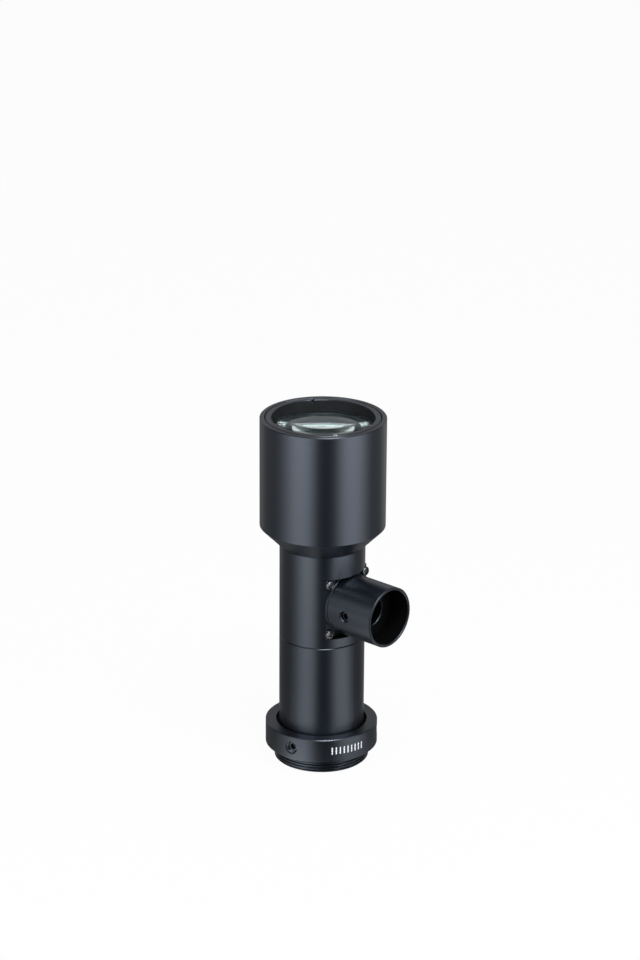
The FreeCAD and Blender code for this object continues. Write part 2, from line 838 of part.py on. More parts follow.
def make_head_barrel():
    """The wide front barrel, screwed into the main barrel and coned down to its radius."""
    spigot_low = main_top - d.joint_length
    thread_low = front_ring_low - d.joint_relief
    chamber_radius = front_clear_radius
    taper_high = second_low - d.head_chamber_length
    taper_low = taper_high - d.head_taper_length
    turned(
        "head_barrel",
        [
            (head_throat_radius, spigot_low),
            (joint_radius, spigot_low),
            (joint_radius, main_top),
            (d.barrel_radius, main_top),
            (d.head_radius, cone_top),
            (d.head_radius, head_top - d.head_rim_bevel),
            (d.head_radius - d.head_rim_bevel, head_top),
            (front_thread_radius + d.front_lead, head_top),
            (front_thread_radius, head_top - d.front_lead_depth),
            (front_thread_radius, thread_low),
            (front_bore_radius, thread_low),
            (front_bore_radius, second_low),
            (chamber_radius, second_low),
            (chamber_radius, taper_high),
            (head_throat_radius, taper_low),
        ],
    )


def make_front_optics():
    """From the front: screwed ring, cemented pair, spacer and the second lens."""
    radius = front_lens_radius
    clear = front_clear_radius
    ring = turned(
        "front_retaining_ring",
        [
            (front_ring_bore, front_ring_low),
            (front_ring_radius, front_ring_low),
            (front_ring_radius, head_top - d.front_ring_bevel),
            (front_ring_radius - d.front_ring_bevel, head_top),
            (front_ring_bore + d.front_ring_bevel, head_top),
            (front_ring_bore, head_top - d.front_ring_bevel),
        ],
    )
    notch_ring(ring, "front_retaining_ring", head_top, front_ring_radius)
    ring.Placement = Placement(Vector(), Rotation(Vector(0, 0, 1), FRONT_NOTCH_ANGLE))
    lens(
        "front_doublet_outer",
        radius,
        clear,
        front_outer_low,
        front_ring_low,
        low_curve=d.front_cement_curve,
        high_curve=d.front_outer_curve,
    )
    lens(
        "front_doublet_inner",
        radius,
        clear,
        front_inner_low,
        front_outer_low,
        low_curve=d.front_inner_curve,
        high_curve=d.front_cement_curve,
        high_rises=False,
    )
    turned("head_spacer_ring", ring_outline(clear, radius, head_spacer_low, front_inner_low))
    lens("second_lens", radius, clear, second_low, head_spacer_low, high_curve=d.second_curve)


def check_document():
    """Stops if any feature failed or any piece is empty or open."""
    for part in document.Objects:
        if "Invalid" in part.State or "Error" in part.State:
            raise RuntimeError(f"{part.Label} didn't build: {part.State}")
    for body in pieces():
        shape = body.Shape
        if shape.isNull() or not shape.isValid() or len(shape.Solids) != 1:
            raise RuntimeError(f"{body.Label} isn't one sound solid")


def pieces():
    return [part for part in document.Objects if part.TypeId == "PartDesign::Body"]


def write_pieces():
    os.makedirs("parts", exist_ok=True)
    for body in pieces():
        body.Shape.exportStep(f"parts/{body.Label}.step")
        box = body.Shape.BoundBox
        print(f"{body.Label:26s} {body.Shape.Volume:10.2f} mm3  z {box.ZMin:7.2f} to {box.ZMax:7.2f}")


make_mount_ring()
make_mount_grub_screws()
make_rear_barrel()
make_rear_optics()
make_main_barrel()
make_splitter()
make_light_trap()
make_port_flange()
make_port_tube()
make_condenser()
make_port_grub_screw()
make_port_screws()
make_head_barrel()
make_front_optics()
document.recompute()
check_document()
write_pieces()
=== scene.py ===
import math

import bmesh
import bpy
import numpy as np
from mathutils import Matrix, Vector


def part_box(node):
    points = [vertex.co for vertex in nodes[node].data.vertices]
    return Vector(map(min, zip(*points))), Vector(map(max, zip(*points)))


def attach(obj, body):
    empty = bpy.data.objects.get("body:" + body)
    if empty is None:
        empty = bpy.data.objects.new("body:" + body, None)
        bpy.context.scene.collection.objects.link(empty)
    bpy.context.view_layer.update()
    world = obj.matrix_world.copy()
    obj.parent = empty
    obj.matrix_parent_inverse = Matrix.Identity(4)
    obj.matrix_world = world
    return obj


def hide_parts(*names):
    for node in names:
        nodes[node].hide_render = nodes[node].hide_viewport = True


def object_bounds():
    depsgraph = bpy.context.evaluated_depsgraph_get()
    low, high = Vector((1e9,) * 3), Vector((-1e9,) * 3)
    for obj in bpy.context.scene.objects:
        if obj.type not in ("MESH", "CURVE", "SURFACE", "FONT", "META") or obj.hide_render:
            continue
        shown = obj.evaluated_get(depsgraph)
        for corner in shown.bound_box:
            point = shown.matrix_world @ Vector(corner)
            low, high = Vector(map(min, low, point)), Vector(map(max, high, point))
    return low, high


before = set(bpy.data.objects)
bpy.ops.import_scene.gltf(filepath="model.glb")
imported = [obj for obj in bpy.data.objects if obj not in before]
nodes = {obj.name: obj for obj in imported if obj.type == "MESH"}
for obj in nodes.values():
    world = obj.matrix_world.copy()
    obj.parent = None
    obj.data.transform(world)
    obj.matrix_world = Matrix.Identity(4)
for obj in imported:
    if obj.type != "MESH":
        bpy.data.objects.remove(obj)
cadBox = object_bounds()
mm = 0.001  # shapes are worked out in millimetres, and meshes are in metres
mergeGap = 0.0002  # millimetres, within which a shape's seam is joined
print("frame loaded:", len(nodes), "nodes")


def boxOf(node):
    # a node's lowest and highest corner, in millimetres
    low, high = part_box(node)
    return np.round(np.array(low) / mm, 4), np.round(np.array(high) / mm, 4)


def middleOf(node):
    low, high = boxOf(node)
    return (low + high) / 2


portHeight = middleOf("port_tube")[2]  # of the port's axis above the mount's seat
barrelRadius = boxOf("rear_barrel")[1][0]


# camera: where the photograph was taken from, fitted to the outline of the turned steps
cameraSettings = {
    "place": (541.5, -599.8, 377.5),
    "heading": 132.13,  # degrees from +X, seen from above
    "pitch": -20.544,
    "roll": 0.352,
    "lens": 123.55,
    "sensor": 36.0,
    "near": 0.05,
    "far": 30.0,
}


def makeCamera(settings):
    # turned about Z to its heading, about X to its pitch, then about its own view line
    data = bpy.data.cameras.new("camera")
    data.lens = settings["lens"]
    data.sensor_width = settings["sensor"]
    data.clip_start = settings["near"]
    data.clip_end = settings["far"]
    camera = bpy.data.objects.new("camera", data)
    bpy.context.scene.collection.objects.link(camera)
    heading = Matrix.Rotation(math.radians(settings["heading"] - 90), 4, "Z")
    pitch = Matrix.Rotation(math.radians(settings["pitch"] + 90), 4, "X")
    roll = Matrix.Rotation(math.radians(settings["roll"]), 4, "Z")
    place = Matrix.Translation([value * mm for value in settings["place"]])
    camera.matrix_world = place @ heading @ pitch @ roll
    bpy.context.scene.camera = camera


makeCamera(cameraSettings)
print("camera placed")


# studio: a pale floor, a white surround and soft lamps about the object
studioSettings = {
    "floorSize": 24.0,  # metres
    "floorColour": (0.80, 0.80, 0.80, 1),
    "floorLift": 0.96,  # share of plain white that the floor shows, the rest keeps the shadow
    "backHeading": cameraSettings["heading"],
    "ambient": 0.30,
    # what gloss sees of the surround: degrees round from the camera's side, brightness
    "surround": [(-180, 0.20), (-145, 0.24), (-122, 0.15), (-90, 0.10), (-45, 0.12), (-18, 0.03)]
    + [(18, 0.03), (45, 0.12), (90, 0.10), (122, 0.15), (145, 0.24), (180, 0.20)],
    # and its share of that by height: a lit strip of backdrop low down, dark above
    "strip": [(-90, 0.6), (0, 0.8), (9, 1.6), (13, 2.25), (23, 2.25), (28, 0.45), (45, 0.22), (90, 0.22)],
    # what glass sees of the surround by height: the white backdrop, two soft boxes above it and the pale
    # ceiling; they come nearer the floor towards their ends by the share "boxDroop"
    "boxes": [(-90, 0.8), (28.5, 0.8), (29.5, 3.0), (34, 3.0), (35, 0.6), (39.5, 0.6), (40.5, 5.5)]
    + [(45.5, 5.5), (46.5, 0.34), (56, 0.34), (60, 0.26), (72, 0.28), (78, 0.42), (82, 0.80), (90, 0.80)],
    "boxDroop": 1.0,
    "boxTint": (0.92, 1.0, 1.0),
    # the floor's brightness as gloss sees it, painted light and shade: bright bands of lit paper at the sides,
    # and painted dark before the camera in place of a dark card
    "paper": [(-180, 0.10), (-168, 0.12), (-152, 0.27), (-140, 0.32), (-123, 0.19), (-88, 0.20), (-64, 0.70)]
    + [(-50, 1.25), (-30, 1.30), (-17, 0.65), (-8, 0.06), (9, 0.03), (20, 0.12), (31, 0.7), (42, 1.25)]
    + [(62, 1.25), (79, 0.6), (90, 0.20), (123, 0.20), (140, 0.42), (152, 0.44), (168, 0.15), (180, 0.12)],
    # the same painted brightness close round the foot, and the reach over which one goes over into the other
    "paperNear": [(-180, 0.2), (-122, 0.15), (-90, 0.15), (-69, 0.28), (-55, 0.6), (-40, 1.3), (-24, 1.35)]
    + [(-14, 0.75), (-5, 0.3), (3, 0.1), (15, 0.1), (24, 0.25), (35, 0.5), (57, 0.42), (79, 0.25)]
    + [(100, 0.15), (180, 0.2)],
    "nearRadius": (25, 34),
    # painted shade of the floor's glow near the object, darkest about 60 mm from its axis
    "paintedFootShade": [(20, 0.8), (40, 0.74), (62, 0.57), (100, 0.66), (150, 0.80), (240, 1.0)],  # reach, brightness
    # name, degrees from the camera's side, middle height, height it faces, distance, width, tall, radiance,
    # colour; lengths in metres
    "lamps": [
        ("leftLamp", -40, 0.22, 0.22, 0.36, 0.32, 0.34, 2.4, (0.86, 0.92, 1.0)),
        ("rightLamp", 55, 0.22, 0.22, 0.36, 0.37, 0.34, 2.4, (0.88, 0.94, 1.0)),
        ("backLamp", 180, 0.86, 0.09, 0.64, 0.30, 0.30, 1.0, (1.0, 1.0, 1.0)),
        ("topLamp", 22, 0.90, 0.09, 0.46, 0.45, 0.40, 8.0, (1.0, 1.0, 1.0)),
    ],
}
pureWhite = (1.0, 1.0, 1.0, 1.0)


def newNode(tree, kind, **settings):
    node = tree.nodes.new(kind)
    for name, value in settings.items():
        setattr(node, name, value)
    return node


def feed(tree, node, *values):
    # each value, a socket or a constant, goes to the node's inputs in their order
    for socket, value in zip(node.inputs, values):
        if isinstance(value, bpy.types.NodeSocket):
            tree.links.new(value, socket)
        else:
            socket.default_value = value


def numberOf(tree, operation, *values, clamp=False):
    # one number worked out of others
    node = newNode(tree, "ShaderNodeMath", operation=operation, use_clamp=clamp)
    feed(tree, node, *values)
    return node.outputs[0]


def vectorOf(tree, operation, *values):
    # one vector worked out of others; a length and a product of two directions are numbers
    node = newNode(tree, "ShaderNodeVectorMath", operation=operation)
    feed(tree, node, *values)
    return node.outputs["Value" if operation in ("LENGTH", "DOT_PRODUCT") else "Vector"]


def glow(tree, kind, colour, strength=1.0):
    # light of one colour and strength, from a surface or the surround
    node = newNode(tree, kind)
    feed(tree, node, colour, strength)
    return node.outputs[0]


def swapShader(tree, share, first, second):
    # the first shader, with the second in its place by the share
    node = newNode(tree, "ShaderNodeMixShader")
    feed(tree, node, share, first, second)
    return node.outputs[0]


def rampOf(tree, source, stops, start, span, colour=(1.0, 1.0, 1.0)):
    # brightness by a source of 0 to 1, whose stops are given from the start over the span
    node = newNode(tree, "ShaderNodeValToRGB")
    marks = node.color_ramp.elements
    while len(marks) < len(stops):
        marks.new(0.5)
    for mark, (place, value) in zip(marks, stops):
        mark.position = (place - start) / span
        mark.color = (value * colour[0], value * colour[1], value * colour[2], 1)
    feed(tree, node, source)
    return node.outputs["Color"]


def levelAxes(settings):
    # the level directions towards the camera's side and across it
    angle = math.radians(settings["backHeading"] + 180)
    return (math.cos(angle), math.sin(angle), 0), (-math.sin(angle), math.cos(angle), 0)


def shadeByTurn(tree, source, settings, stops):
    # brightness by how far a direction or place lies round the object from the camera's side
    towards, across = [vectorOf(tree, "DOT_PRODUCT", source, axis) for axis in levelAxes(settings)]
    turn = numberOf(tree, "ARCTAN2", across, towards)
    share = numberOf(tree, "MULTIPLY_ADD", turn, 0.5 / math.pi, 0.5)
    return rampOf(tree, share, stops, -180, 360)


def shadeByHeight(tree, source, settings, stops, droop=0.0, colour=(1.0, 1.0, 1.0)):
    # a share by the degrees that a direction rises above level; to its height is added the square of its way
    # across from the line of sight, times the droop
    split = newNode(tree, "ShaderNodeSeparateXYZ")
    feed(tree, split, source)
    across = vectorOf(tree, "DOT_PRODUCT", source, levelAxes(settings)[1])
    squared = numberOf(tree, "POWER", numberOf(tree, "ABSOLUTE", across), 2.0)
    rise = numberOf(tree, "ARCSINE", numberOf(tree, "MULTIPLY_ADD", squared, droop, split.outputs["Z"]))
    share = numberOf(tree, "MULTIPLY_ADD", rise, 1 / math.pi, 0.5)
    return rampOf(tree, share, stops, -90, 180, colour)


def paperShade(tree, settings):
    # painted light and shade of the floor's glow: the turn's brightness, times a painted shade by the distance
    # from the object's axis, and other stops at the foot
    place = newNode(tree, "ShaderNodeTexCoord").outputs["Object"]
    reach = vectorOf(tree, "LENGTH", vectorOf(tree, "MULTIPLY", place, (1, 1, 0)))
    far = settings["paintedFootShade"][-1][0]
    paintedFootShade = rampOf(tree, numberOf(tree, "DIVIDE", reach, far * mm), settings["paintedFootShade"], 0, far)
    faded = vectorOf(tree, "MULTIPLY", shadeByTurn(tree, place, settings, settings["paper"]), paintedFootShade)
    near = newNode(tree, "ShaderNodeMapRange", interpolation_type="SMOOTHSTEP")
    near.inputs["From Min"].default_value = settings["nearRadius"][0] * mm
    near.inputs["From Max"].default_value = settings["nearRadius"][1] * mm
    tree.links.new(reach, near.inputs["Value"])
    mix = newNode(tree, "ShaderNodeMix", data_type="RGBA")
    tree.links.new(near.outputs["Result"], mix.inputs["Factor"])
    tree.links.new(shadeByTurn(tree, place, settings, settings["paperNear"]), mix.inputs["A"])
    tree.links.new(faded, mix.inputs["B"])
    return mix.outputs["Result"]


def makeFloor(settings):
    # one square under the lowest point of the object: gloss sees the paper's glow with painted light and
    # shade, and the camera mostly white
    half = settings["floorSize"] / 2
    level = cadBox[0].z
    mesh = bpy.data.meshes.new("floor")
    corners = [(-half, -half, level), (half, -half, level), (half, half, level), (-half, half, level)]
    mesh.from_pydata(corners, [], [(0, 1, 2, 3)])
    floor = bpy.data.objects.new("floor", mesh)
    bpy.context.scene.collection.objects.link(floor)
    material = bpy.data.materials.new("floorPaper")
    material.use_nodes = True
    tree = material.node_tree
    tree.nodes.clear()
    paper = newNode(tree, "ShaderNodeBsdfDiffuse")
    paper.inputs["Color"].default_value = settings["floorColour"]
    white = glow(tree, "ShaderNodeEmission", pureWhite)
    # to gloss the floor glows with painted light and shade instead of its lit paper
    room = glow(tree, "ShaderNodeEmission", paperShade(tree, settings))
    rays = newNode(tree, "ShaderNodeLightPath").outputs
    glossy, through = rays["Is Glossy Ray"], rays["Is Transmission Ray"]
    seen = numberOf(tree, "MAXIMUM", rays["Is Camera Ray"], through)
    share = numberOf(tree, "MULTIPLY", seen, settings["floorLift"])
    onlyGloss = numberOf(tree, "SUBTRACT", glossy, through, clamp=True)
    look = swapShader(tree, share, paper.outputs[0], white)
    look = swapShader(tree, onlyGloss, look, room)
    tree.links.new(look, newNode(tree, "ShaderNodeOutputMaterial").inputs["Surface"])
    mesh.materials.append(material)


def makeWorld(settings):
    # white to the camera, soft boxes through glass, a pale even light on surfaces, and the shaded surround to
    # gloss
    world = bpy.data.worlds.new("studio")
    bpy.context.scene.world = world
    world.use_nodes = True
    tree = world.node_tree
    tree.nodes.clear()
    direction = newNode(tree, "ShaderNodeTexCoord").outputs["Generated"]
    turned = shadeByTurn(tree, direction, settings, settings["surround"])
    strip = shadeByHeight(tree, direction, settings, settings["strip"])
    boxes = shadeByHeight(
        tree, direction, settings, settings["boxes"], settings["boxDroop"], settings["boxTint"]
    )
    rays = newNode(tree, "ShaderNodeLightPath").outputs
    look = glow(tree, "ShaderNodeBackground", pureWhite, settings["ambient"])
    room = glow(tree, "ShaderNodeBackground", vectorOf(tree, "MULTIPLY", turned, strip))
    look = swapShader(tree, rays["Is Glossy Ray"], look, room)
    look = swapShader(tree, rays["Is Transmission Ray"], look, glow(tree, "ShaderNodeBackground", boxes))
    look = swapShader(tree, rays["Is Camera Ray"], look, glow(tree, "ShaderNodeBackground", pureWhite))
    tree.links.new(look, newNode(tree, "ShaderNodeOutputWorld").inputs["Surface"])


def makeLamps(settings):
    # each lamp stands at an angle from the camera's side and faces the object's axis
    towardsCamera = settings["backHeading"] + 180
    for name, angle, height, aim, distance, width, tall, radiance, colour in settings["lamps"]:
        data = bpy.data.lights.new(name, "AREA")
        data.shape = "RECTANGLE"
        data.size = width
        data.size_y = tall
        data.energy = radiance * width * tall * math.pi
        data.color = colour
        lamp = bpy.data.objects.new(name, data)
        bpy.context.scene.collection.objects.link(lamp)
        turn = math.radians(towardsCamera + angle)
        place = Matrix.Translation((distance * math.cos(turn), distance * math.sin(turn), height))
        fall = math.atan2(height - aim, distance)
        spin = Matrix.Rotation(turn + math.pi / 2, 4, "Z")
        tip = Matrix.Rotation(math.pi / 2 - fall, 4, "X")
        lamp.matrix_world = place @ spin @ tip
        lamp.visible_camera = False
        lamp.visible_transmission = False  # glass sees the soft boxes of the surround instead


bpy.context.scene.view_settings.view_transform = "Standard"
makeFloor(studioSettings)
makeWorld(studioSettings)
makeLamps(studioSettings)
print("studio lit")


# finishes
finishSettings = {
    "anodised": {
        "dark": (0.0015, 0.0020, 0.0034, 1),
        "light": (0.0028, 0.0036, 0.0054, 1),
        "cloudScale": 90.0,
        "roughness": 0.33,
        "portRoughness": 0.31,
        "roughSpread": 0.03,
        "tint": (0.76, 0.85, 1.0, 1),
        "index": 1.77,
        "gloss": 0.80,
        "stretch": 0.50,
        "portStretch": 0.10,
        "lineScale": 9000.0,
        "lineStrength": 0.6,
        "lineDepth": 0.0000012,
    },
    # a darker copy of the front ring's matt black: the finish of the inside parts, and painted shade in the
    # deep hollows, the port's bore and the recess round the barrel's foot
    "matt": {
        "dark": (0.0008, 0.0008, 0.001, 1),
        "light": (0.002, 0.002, 0.0025, 1),
        "roughness": 0.7,
        "gloss": 0.1,
    },
    "front": {
        "dark": (0.007, 0.0075, 0.009, 1),
        "light": (0.012, 0.013, 0.015, 1),
        "roughness": 0.6,
        "gloss": 0.4,
    },
    "grooves": {"scale": 2500.0, "strength": 0.8, "depth": 0.00003},
    "steel": {"dark": (0.16, 0.16, 0.17, 1), "light": (0.28, 0.28, 0.29, 1), "roughness": 0.24},
    "grubSteel": {"dark": (0.09, 0.095, 0.11, 1), "light": (0.15, 0.16, 0.18, 1), "roughness": 0.30},
    "wear": {"scale": 2200.0, "detail": 4.0, "strength": 0.3, "depth": 0.00001},
    "glass": {
        "colour": (0.93, 0.985, 0.97, 1),
        "index": 1.52,
        "coatIndex": 1.43,
        "coatThickness": 212.0,  # nanometres
        "polishScale": 400.0,
        "polishRoughness": 0.02,
    },
    "paint": {
        "dark": (0.82, 0.83, 0.84, 1),
        "light": (0.8692, 0.8798, 0.8904, 1),
        "roughness": 0.55,
        "grainScale": 3000.0,
    },
}


def newFinish(name):
    material = bpy.data.materials.new(name)
    material.use_nodes = True
    tree = material.node_tree
    tree.nodes.clear()
    output = newNode(tree, "ShaderNodeOutputMaterial")
    shader = newNode(tree, "ShaderNodeBsdfPrincipled")
    tree.links.new(shader.outputs[0], output.inputs["Surface"])
    return material, tree, shader


def noiseOver(tree, source, scale, detail=2.0):
    noise = newNode(tree, "ShaderNodeTexNoise")
    noise.inputs["Scale"].default_value = scale
    noise.inputs["Detail"].default_value = detail
    tree.links.new(source, noise.inputs["Vector"])
    return noise.outputs["Fac"]


def placeOnPiece(tree):
    return newNode(tree, "ShaderNodeTexCoord").outputs["Object"]


def turningMarks(tree, axis, scale):
    # noise over the distance from the turning axis and along it, so its marks run round the piece
    centred = newNode(tree, "ShaderNodeMapping")
    if axis == "X":
        centred.inputs["Location"].default_value = (0, 0, -portHeight * mm)
    tree.links.new(placeOnPiece(tree), centred.inputs["Vector"])
    split = newNode(tree, "ShaderNodeSeparateXYZ")
    feed(tree, split, centred.outputs["Vector"])
    across = newNode(tree, "ShaderNodeCombineXYZ")
    feed(tree, across, *[split.outputs[name] for name in "XYZ" if name != axis])
    join = newNode(tree, "ShaderNodeCombineXYZ")
    feed(tree, join, vectorOf(tree, "LENGTH", across.outputs[0]), split.outputs[axis])
    return noiseOver(tree, join.outputs[0], scale, detail=3.0)


def shadeBetween(tree, source, settings, shader):
    # a colour between two near shades, by the noise
    mix = newNode(tree, "ShaderNodeMix", data_type="RGBA")
    mix.inputs["A"].default_value = settings["dark"]
    mix.inputs["B"].default_value = settings["light"]
    tree.links.new(source, mix.inputs["Factor"])
    tree.links.new(mix.outputs["Result"], shader.inputs["Base Color"])


def roughBetween(tree, source, low, high, shader):
    rough = newNode(tree, "ShaderNodeMapRange")
    rough.inputs["To Min"].default_value = low
    rough.inputs["To Max"].default_value = high
    tree.links.new(source, rough.inputs["Value"])
    tree.links.new(rough.outputs["Result"], shader.inputs["Roughness"])


def bumpBy(tree, source, strength, depth, shader):
    bump = newNode(tree, "ShaderNodeBump")
    bump.inputs["Strength"].default_value = strength
    bump.inputs["Distance"].default_value = depth
    tree.links.new(source, bump.inputs["Height"])
    tree.links.new(bump.outputs["Normal"], shader.inputs["Normal"])


def makeAnodised(name, axis, roughness, stretch):
    # satin black anodised aluminium, turned about the axis: its gloss is drawn out along the axis
    settings = finishSettings["anodised"]
    material, tree, shader = newFinish(name)
    marks = turningMarks(tree, axis, settings["lineScale"])
    shadeBetween(tree, noiseOver(tree, placeOnPiece(tree), settings["cloudScale"]), settings, shader)
    spread = settings["roughSpread"]
    roughBetween(tree, marks, roughness - spread, roughness + spread, shader)
    bumpBy(tree, marks, settings["lineStrength"], settings["lineDepth"], shader)
    shader.inputs["IOR"].default_value = settings["index"]
    shader.inputs["Specular IOR Level"].default_value = settings["gloss"]
    shader.inputs["Specular Tint"].default_value = settings["tint"]
    shader.inputs["Anisotropic"].default_value = stretch
    shader.inputs["Anisotropic Rotation"].default_value = 0.25
    tangent = newNode(tree, "ShaderNodeTangent", direction_type="RADIAL", axis=axis)
    tree.links.new(tangent.outputs[0], shader.inputs["Tangent"])
    return material


def makeMatt(name, settings):
    # matt black inside the light path, with fine anti-glare grooves; its darker copy is also painted shade in
    # deep hollows
    material, tree, shader = newFinish(name)
    grooves = finishSettings["grooves"]
    marks = turningMarks(tree, "Z", grooves["scale"])
    shadeBetween(tree, marks, settings, shader)
    bumpBy(tree, marks, grooves["strength"], grooves["depth"], shader)
    shader.inputs["Roughness"].default_value = settings["roughness"]
    shader.inputs["Specular IOR Level"].default_value = settings["gloss"]
    return material


def makeSteel(name, settings):
    # blackened steel of the screws, with a little tool wear
    material, tree, shader = newFinish(name)
    wear = finishSettings["wear"]
    marks = noiseOver(tree, placeOnPiece(tree), wear["scale"], wear["detail"])
    shadeBetween(tree, marks, settings, shader)
    bumpBy(tree, marks, wear["strength"], wear["depth"], shader)
    shader.inputs["Metallic"].default_value = 1.0
    shader.inputs["Roughness"].default_value = settings["roughness"]
    return material


def makeGlass(name, settings):
    # polished optical glass with a thin anti-reflection coating and the faintest dust in its polish
    material, tree, shader = newFinish(name)
    polish = noiseOver(tree, placeOnPiece(tree), settings["polishScale"])
    roughBetween(tree, polish, 0.0, settings["polishRoughness"], shader)
    shader.inputs["Base Color"].default_value = settings["colour"]
    shader.inputs["Transmission Weight"].default_value = 1.0
    shader.inputs["IOR"].default_value = settings["index"]
    shader.inputs["Thin Film IOR"].default_value = settings["coatIndex"]
    shader.inputs["Thin Film Thickness"].default_value = settings["coatThickness"]
    return material


def makePaint(name, settings):
    # white paint of the strokes, slightly uneven
    material, tree, shader = newFinish(name)
    shadeBetween(tree, noiseOver(tree, placeOnPiece(tree), settings["grainScale"]), settings, shader)
    shader.inputs["Roughness"].default_value = settings["roughness"]
    return material


coating = finishSettings["anodised"]
anodised = makeAnodised("blackAnodised", "Z", coating["roughness"], coating["stretch"])
portAnodised = makeAnodised("blackAnodisedPort", "X", coating["portRoughness"], coating["portStretch"])
# the darker matt black is also painted shade in the hollows of the mount ring and the port
mattBlackAndPaintedShade = makeMatt("mattBlackAndPaintedShade", finishSettings["matt"])
frontBlack = makeMatt("frontBlack", finishSettings["front"])
darkSteel = makeSteel("darkSteel", finishSettings["steel"])
grubSteel = makeSteel("grubSteel", finishSettings["grubSteel"])
opticalGlass = makeGlass("coatedGlass", finishSettings["glass"])
whitePaint = makePaint("whitePaint", finishSettings["paint"])
print("finishes made")


# shared shapes
def asPiece(name, points, faces, body, material, replaced=(), crease=32.0, lining=None):
    # vertices in millimetres and quads become a mesh with merged seams, crisp where it turns by more than the
    # crease's degrees; a lining is a second material, a finish or painted shade, and a mark for each face that
    # has it
    mesh = bpy.data.meshes.new(name)
    mesh.from_pydata((points * mm).tolist(), [], faces.tolist())
    mesh.materials.append(material)
    if lining:
        finish, marked = lining
        mesh.materials.append(finish)
        mesh.polygons.foreach_set("material_index", marked.astype(np.int32))
    work = bmesh.new()
    work.from_mesh(mesh)
    bmesh.ops.remove_doubles(work, verts=work.verts, dist=mergeGap * mm)
    loose = [vertex for vertex in work.verts if not vertex.link_faces]
    bmesh.ops.delete(work, geom=loose, context="VERTS")
    work.to_mesh(mesh)
    work.free()
    mesh.shade_smooth()
    mesh.set_sharp_from_angle(angle=math.radians(crease))
    piece = bpy.data.objects.new(name, mesh)
    bpy.context.scene.collection.objects.link(piece)
    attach(piece, body)
    if replaced:
        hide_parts(*replaced)


def gridFaces(rows, columns, closed, keep=None):
    # quads between neighbouring rows and columns, the last column joined to the first where it is closed
    steps = columns if closed else columns - 1
    row, column = np.meshgrid(np.arange(rows - 1), np.arange(steps), indexing="ij")
    after = (column + 1) % columns
    low, high = row * columns, (row + 1) * columns
    quads = np.stack([low + column, low + after, high + after, high + column], axis=-1)
    if keep is not None:
        quads = quads[keep]
    return quads.reshape(-1, 4)


def roundAngles(columns, start=0.0):
    # equal steps once round, from a start in degrees
    return math.radians(start) + np.arange(columns) * (2 * math.pi / columns)


def turnedGrid(radii, heights, angles):
    # a point at each radius and height, turned to each angle; each may be one row of values or a whole grid
    radii = np.asarray(radii, float).reshape(len(radii), -1)
    angles = np.broadcast_to(angles, (len(radii), np.shape(angles)[-1]))
    radii = np.broadcast_to(radii, angles.shape)
    heights = np.broadcast_to(np.asarray(heights, float).reshape(len(heights), -1), radii.shape)
    return np.stack([radii * np.cos(angles), radii * np.sin(angles), heights], axis=-1)


def stackedRows(rows, columns):
    # a list of (radius, height) rows, in which a radius or height may be one value or one for each column
    radii, heights = zip(*rows)
    return [np.array([np.broadcast_to(value, columns) for value in values]) for values in (radii, heights)]


threadForm = {"crest": 0.16, "flank": 0.58}  # shares of half a pitch


def threadTooth(phase):
    # 0 on the crest and 1 in the root, with flat crest and root and straight flanks between
    away = np.abs((phase % 1.0) - 0.5) * 2
    return np.clip((away - threadForm["crest"]) / threadForm["flank"], 0, 1)


def windowLoop(halfColumns, halfRows):
    # steps along the edge of a window, once round against the clock as seen from outside
    c, r = halfColumns, halfRows
    bottom = [(step, -r) for step in range(-c, c)]
    right = [(c, step) for step in range(-r, r)]
    top = [(step, r) for step in range(c, -c, -1)]
    left = [(-c, step) for step in range(r, -r, -1)]
    return np.array(bottom + right + top + left)


# the thread for the grub screws, in the mount ring and in the port tube
grubThread = {
    "crestRadius": 1.53,
    "threadDepth": 0.22,
    "threadPitch": 0.5,
    "threadRings": 10,  # in each pitch
    "mouthRings": 7,
    "boreRings": 4,
    "halfRows": 9,
}


def holeGrid(hole, step):
    # rings from the window in the outer wall to the mouth, down the threaded hole, and out to the window in
    # the bore; x is the distance from the turning axis, and y and z are across the hole's own axis
    loop = windowLoop(hole["halfColumns"], hole["halfRows"])
    shape = loop / np.array([hole["halfColumns"], hole["halfRows"]])
    angle = np.arctan2(shape[:, 1], shape[:, 0])
    circle = np.stack([np.cos(angle), np.sin(angle)], axis=-1)

    def onWall(across, radius):
        return np.column_stack([np.sqrt(radius**2 - across[:, 0] ** 2), across])

    def window(radius, rise):
        return np.column_stack([radius * np.sin(loop[:, 0] * step), loop[:, 1] * rise])

    def disc(radius, depth):
        return np.column_stack([np.full(len(circle), depth), circle * np.reshape(radius, (-1, 1))])

    sink, floor, crest, end = hole["sinkRadius"], hole["sinkFloor"], hole["crestRadius"], hole["threadEnd"]
    outer = window(hole["outerRadius"], hole["rowSteps"][0])
    inner = window(hole["innerRadius"], hole["rowSteps"][1])
    mouth, rim = circle * sink, circle * crest
    outShares, inShares = np.linspace(0, 1, hole["mouthRings"]), np.linspace(0, 1, hole["boreRings"])
    rings = [onWall(outer + (mouth - outer) * share, hole["outerRadius"]) for share in outShares]
    rings += [disc(sink, floor), disc(crest + hole["threadDepth"] * 0.6, floor)]
    for depth in np.arange(floor - 0.05, end, -hole["threadPitch"] / hole["threadRings"]):
        tooth = threadTooth(depth / hole["threadPitch"] + angle / (2 * math.pi))
        rings.append(disc(crest + hole["threadDepth"] * tooth, depth))
    rings.append(disc(crest, end - 0.02))
    rings += [onWall(rim + (inner - rim) * share, hole["innerRadius"]) for share in inShares]
    return np.array(rings)


